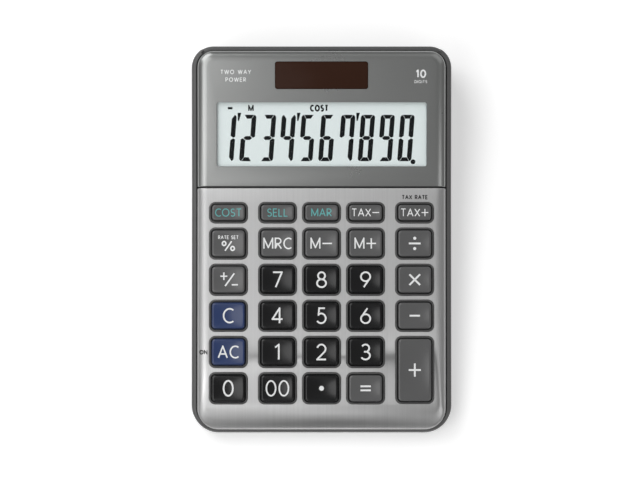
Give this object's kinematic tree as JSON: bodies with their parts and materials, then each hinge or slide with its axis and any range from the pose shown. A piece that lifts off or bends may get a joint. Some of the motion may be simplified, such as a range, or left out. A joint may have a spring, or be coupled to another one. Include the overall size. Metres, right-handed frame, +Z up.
{
  "type": "desk calculator",
  "caption": "Wedge-shaped solar calculator with a wide number display, a brushed metal keypad plate and sprung push keys in raised collars.",
  "frame": {"origin": "centre of the bounding box in plan, on the plane that the four rubber feet stand on", "axes": "+Z up, +Y from the keypad's front edge towards the display end, +X to the user's right"},
  "size_m": [0.102, 0.1502, 0.03],
  "materials": {
    "case_grey": "fine satin texture, dark grey",
    "panel_grey": "metallic grey paint with a satin sheen",
    "brushed_plate": "brushed along the keypad's length, clear anodised",
    "key_grey": "satin moulded, mid grey",
    "key_dark": "satin moulded, near black",
    "key_blue": "satin moulded, deep blue",
    "clear_lens": "clear gloss acrylic",
    "smoked_lens": "dark brown tinted gloss acrylic",
    "lcd_screen": "reflective liquid-crystal screen, pale green-white",
    "bright_film": "silvered film",
    "dark_silicon": "amorphous silicon on glass",
    "soft_rubber": "matt silicone",
    "black_rubber": "matt",
    "green_board": "green solder resist",
    "black_resin": "matt black",
    "amber_film": "amber polyimide film",
    "bright_steel": "bright plated",
    "red_sleeve": "red insulation",
    "black_sleeve": "black insulation"
  },
  "bodies": {
    "case": {"rear_case": "case_grey", "upper_case": "case_grey", "display_panel": "panel_grey", "faceplate": "brushed_plate", "lcd_window": "clear_lens", "solar_window": "smoked_lens", "lcd_glass": "lcd_screen", "lcd_reflector": "bright_film", "lcd_frame": "black_resin", "solar_cell": "dark_silicon", "key_mat": "soft_rubber", "main_board": "green_board", "chip_cover": "black_resin", "capacitor": "black_sleeve", "button_cell": "bright_steel", "cell_contact_negative": "bright_steel", "cell_contact_positive": "bright_steel", "display_ribbon": "amber_film", "solar_lead_positive": "red_sleeve", "solar_lead_negative": "black_sleeve", "case_screw_front_left": "bright_steel", "case_screw_front_right": "bright_steel", "case_screw_middle_left": "bright_steel", "case_screw_middle_right": "bright_steel", "case_screw_back_left": "bright_steel", "case_screw_back_right": "bright_steel", "foot_front_left": "black_rubber", "foot_front_right": "black_rubber", "foot_back_left": "black_rubber", "foot_back_right": "black_rubber"},
    "key_cost": {"key_cost": "key_grey"},
    "key_sell": {"key_sell": "key_grey"},
    "key_margin": {"key_margin": "key_grey"},
    "key_tax_minus": {"key_tax_minus": "key_grey"},
    "key_tax_plus": {"key_tax_plus": "key_grey"},
    "key_percent": {"key_percent": "key_grey"},
    "key_memory_recall": {"key_memory_recall": "key_grey"},
    "key_memory_minus": {"key_memory_minus": "key_grey"},
    "key_memory_plus": {"key_memory_plus": "key_grey"},
    "key_divide": {"key_divide": "key_grey"},
    "key_sign": {"key_sign": "key_grey"},
    "key_7": {"key_7": "key_dark"},
    "key_8": {"key_8": "key_dark"},
    "key_9": {"key_9": "key_dark"},
    "key_times": {"key_times": "key_grey"},
    "key_clear": {"key_clear": "key_blue"},
    "key_4": {"key_4": "key_dark"},
    "key_5": {"key_5": "key_dark"},
    "key_6": {"key_6": "key_dark"},
    "key_minus": {"key_minus": "key_grey"},
    "key_all_clear": {"key_all_clear": "key_blue"},
    "key_1": {"key_1": "key_dark"},
    "key_2": {"key_2": "key_dark"},
    "key_3": {"key_3": "key_dark"},
    "key_0": {"key_0": "key_dark"},
    "key_double_zero": {"key_double_zero": "key_dark"},
    "key_point": {"key_point": "key_dark"},
    "key_equals": {"key_equals": "key_grey"},
    "key_plus": {"key_plus": "key_grey"}
  },
  "joints": [
    {"name": "key_cost_press", "type": "slide", "parent": "case", "child": "key_cost", "axis": [0, 0.0958, -0.9954], "range_m": [0, 0.0015], "stiffness_N_per_m": 400, "springref_m": -0.0003, "deforming": ["key_mat"]},
    {"name": "key_sell_press", "type": "slide", "parent": "case", "child": "key_sell", "axis": [0, 0.0958, -0.9954], "range_m": [0, 0.0015], "stiffness_N_per_m": 400, "springref_m": -0.0003, "deforming": ["key_mat"]},
    {"name": "key_margin_press", "type": "slide", "parent": "case", "child": "key_margin", "axis": [0, 0.0958, -0.9954], "range_m": [0, 0.0015], "stiffness_N_per_m": 400, "springref_m": -0.0003, "deforming": ["key_mat"]},
    {"name": "key_tax_minus_press", "type": "slide", "parent": "case", "child": "key_tax_minus", "axis": [0, 0.0958, -0.9954], "range_m": [0, 0.0015], "stiffness_N_per_m": 400, "springref_m": -0.0003, "deforming": ["key_mat"]},
    {"name": "key_tax_plus_press", "type": "slide", "parent": "case", "child": "key_tax_plus", "axis": [0, 0.0958, -0.9954], "range_m": [0, 0.0015], "stiffness_N_per_m": 400, "springref_m": -0.0003, "deforming": ["key_mat"]},
    {"name": "key_percent_press", "type": "slide", "parent": "case", "child": "key_percent", "axis": [0, 0.0958, -0.9954], "range_m": [0, 0.0015], "stiffness_N_per_m": 400, "springref_m": -0.0003, "deforming": ["key_mat"]},
    {"name": "key_memory_recall_press", "type": "slide", "parent": "case", "child": "key_memory_recall", "axis": [0, 0.0958, -0.9954], "range_m": [0, 0.0015], "stiffness_N_per_m": 400, "springref_m": -0.0003, "deforming": ["key_mat"]},
    {"name": "key_memory_minus_press", "type": "slide", "parent": "case", "child": "key_memory_minus", "axis": [0, 0.0958, -0.9954], "range_m": [0, 0.0015], "stiffness_N_per_m": 400, "springref_m": -0.0003, "deforming": ["key_mat"]},
    {"name": "key_memory_plus_press", "type": "slide", "parent": "case", "child": "key_memory_plus", "axis": [0, 0.0958, -0.9954], "range_m": [0, 0.0015], "stiffness_N_per_m": 400, "springref_m": -0.0003, "deforming": ["key_mat"]},
    {"name": "key_divide_press", "type": "slide", "parent": "case", "child": "key_divide", "axis": [0, 0.0958, -0.9954], "range_m": [0, 0.0015], "stiffness_N_per_m": 400, "springref_m": -0.0003, "deforming": ["key_mat"]},
    {"name": "key_sign_press", "type": "slide", "parent": "case", "child": "key_sign", "axis": [0, 0.0958, -0.9954], "range_m": [0, 0.0015], "stiffness_N_per_m": 400, "springref_m": -0.0003, "deforming": ["key_mat"]},
    {"name": "key_7_press", "type": "slide", "parent": "case", "child": "key_7", "axis": [0, 0.0958, -0.9954], "range_m": [0, 0.0015], "stiffness_N_per_m": 400, "springref_m": -0.0003, "deforming": ["key_mat"]},
    {"name": "key_8_press", "type": "slide", "parent": "case", "child": "key_8", "axis": [0, 0.0958, -0.9954], "range_m": [0, 0.0015], "stiffness_N_per_m": 400, "springref_m": -0.0003, "deforming": ["key_mat"]},
    {"name": "key_9_press", "type": "slide", "parent": "case", "child": "key_9", "axis": [0, 0.0958, -0.9954], "range_m": [0, 0.0015], "stiffness_N_per_m": 400, "springref_m": -0.0003, "deforming": ["key_mat"]},
    {"name": "key_times_press", "type": "slide", "parent": "case", "child": "key_times", "axis": [0, 0.0958, -0.9954], "range_m": [0, 0.0015], "stiffness_N_per_m": 400, "springref_m": -0.0003, "deforming": ["key_mat"]},
    {"name": "key_clear_press", "type": "slide", "parent": "case", "child": "key_clear", "axis": [0, 0.0958, -0.9954], "range_m": [0, 0.0015], "stiffness_N_per_m": 400, "springref_m": -0.0003, "deforming": ["key_mat"]},
    {"name": "key_4_press", "type": "slide", "parent": "case", "child": "key_4", "axis": [0, 0.0958, -0.9954], "range_m": [0, 0.0015], "stiffness_N_per_m": 400, "springref_m": -0.0003, "deforming": ["key_mat"]},
    {"name": "key_5_press", "type": "slide", "parent": "case", "child": "key_5", "axis": [0, 0.0958, -0.9954], "range_m": [0, 0.0015], "stiffness_N_per_m": 400, "springref_m": -0.0003, "deforming": ["key_mat"]},
    {"name": "key_6_press", "type": "slide", "parent": "case", "child": "key_6", "axis": [0, 0.0958, -0.9954], "range_m": [0, 0.0015], "stiffness_N_per_m": 400, "springref_m": -0.0003, "deforming": ["key_mat"]},
    {"name": "key_minus_press", "type": "slide", "parent": "case", "child": "key_minus", "axis": [0, 0.0958, -0.9954], "range_m": [0, 0.0015], "stiffness_N_per_m": 400, "springref_m": -0.0003, "deforming": ["key_mat"]},
    {"name": "key_all_clear_press", "type": "slide", "parent": "case", "child": "key_all_clear", "axis": [0, 0.0958, -0.9954], "range_m": [0, 0.0015], "stiffness_N_per_m": 400, "springref_m": -0.0003, "deforming": ["key_mat"]},
    {"name": "key_1_press", "type": "slide", "parent": "case", "child": "key_1", "axis": [0, 0.0958, -0.9954], "range_m": [0, 0.0015], "stiffness_N_per_m": 400, "springref_m": -0.0003, "deforming": ["key_mat"]},
    {"name": "key_2_press", "type": "slide", "parent": "case", "child": "key_2", "axis": [0, 0.0958, -0.9954], "range_m": [0, 0.0015], "stiffness_N_per_m": 400, "springref_m": -0.0003, "deforming": ["key_mat"]},
    {"name": "key_3_press", "type": "slide", "parent": "case", "child": "key_3", "axis": [0, 0.0958, -0.9954], "range_m": [0, 0.0015], "stiffness_N_per_m": 400, "springref_m": -0.0003, "deforming": ["key_mat"]},
    {"name": "key_0_press", "type": "slide", "parent": "case", "child": "key_0", "axis": [0, 0.0958, -0.9954], "range_m": [0, 0.0015], "stiffness_N_per_m": 400, "springref_m": -0.0003, "deforming": ["key_mat"]},
    {"name": "key_double_zero_press", "type": "slide", "parent": "case", "child": "key_double_zero", "axis": [0, 0.0958, -0.9954], "range_m": [0, 0.0015], "stiffness_N_per_m": 400, "springref_m": -0.0003, "deforming": ["key_mat"]},
    {"name": "key_point_press", "type": "slide", "parent": "case", "child": "key_point", "axis": [0, 0.0958, -0.9954], "range_m": [0, 0.0015], "stiffness_N_per_m": 400, "springref_m": -0.0003, "deforming": ["key_mat"]},
    {"name": "key_equals_press", "type": "slide", "parent": "case", "child": "key_equals", "axis": [0, 0.0958, -0.9954], "range_m": [0, 0.0015], "stiffness_N_per_m": 400, "springref_m": -0.0003, "deforming": ["key_mat"]},
    {"name": "key_plus_press", "type": "slide", "parent": "case", "child": "key_plus", "axis": [0, 0.0958, -0.9954], "range_m": [0, 0.0015], "stiffness_N_per_m": 400, "springref_m": -0.0003, "deforming": ["key_mat"]}
  ]
}
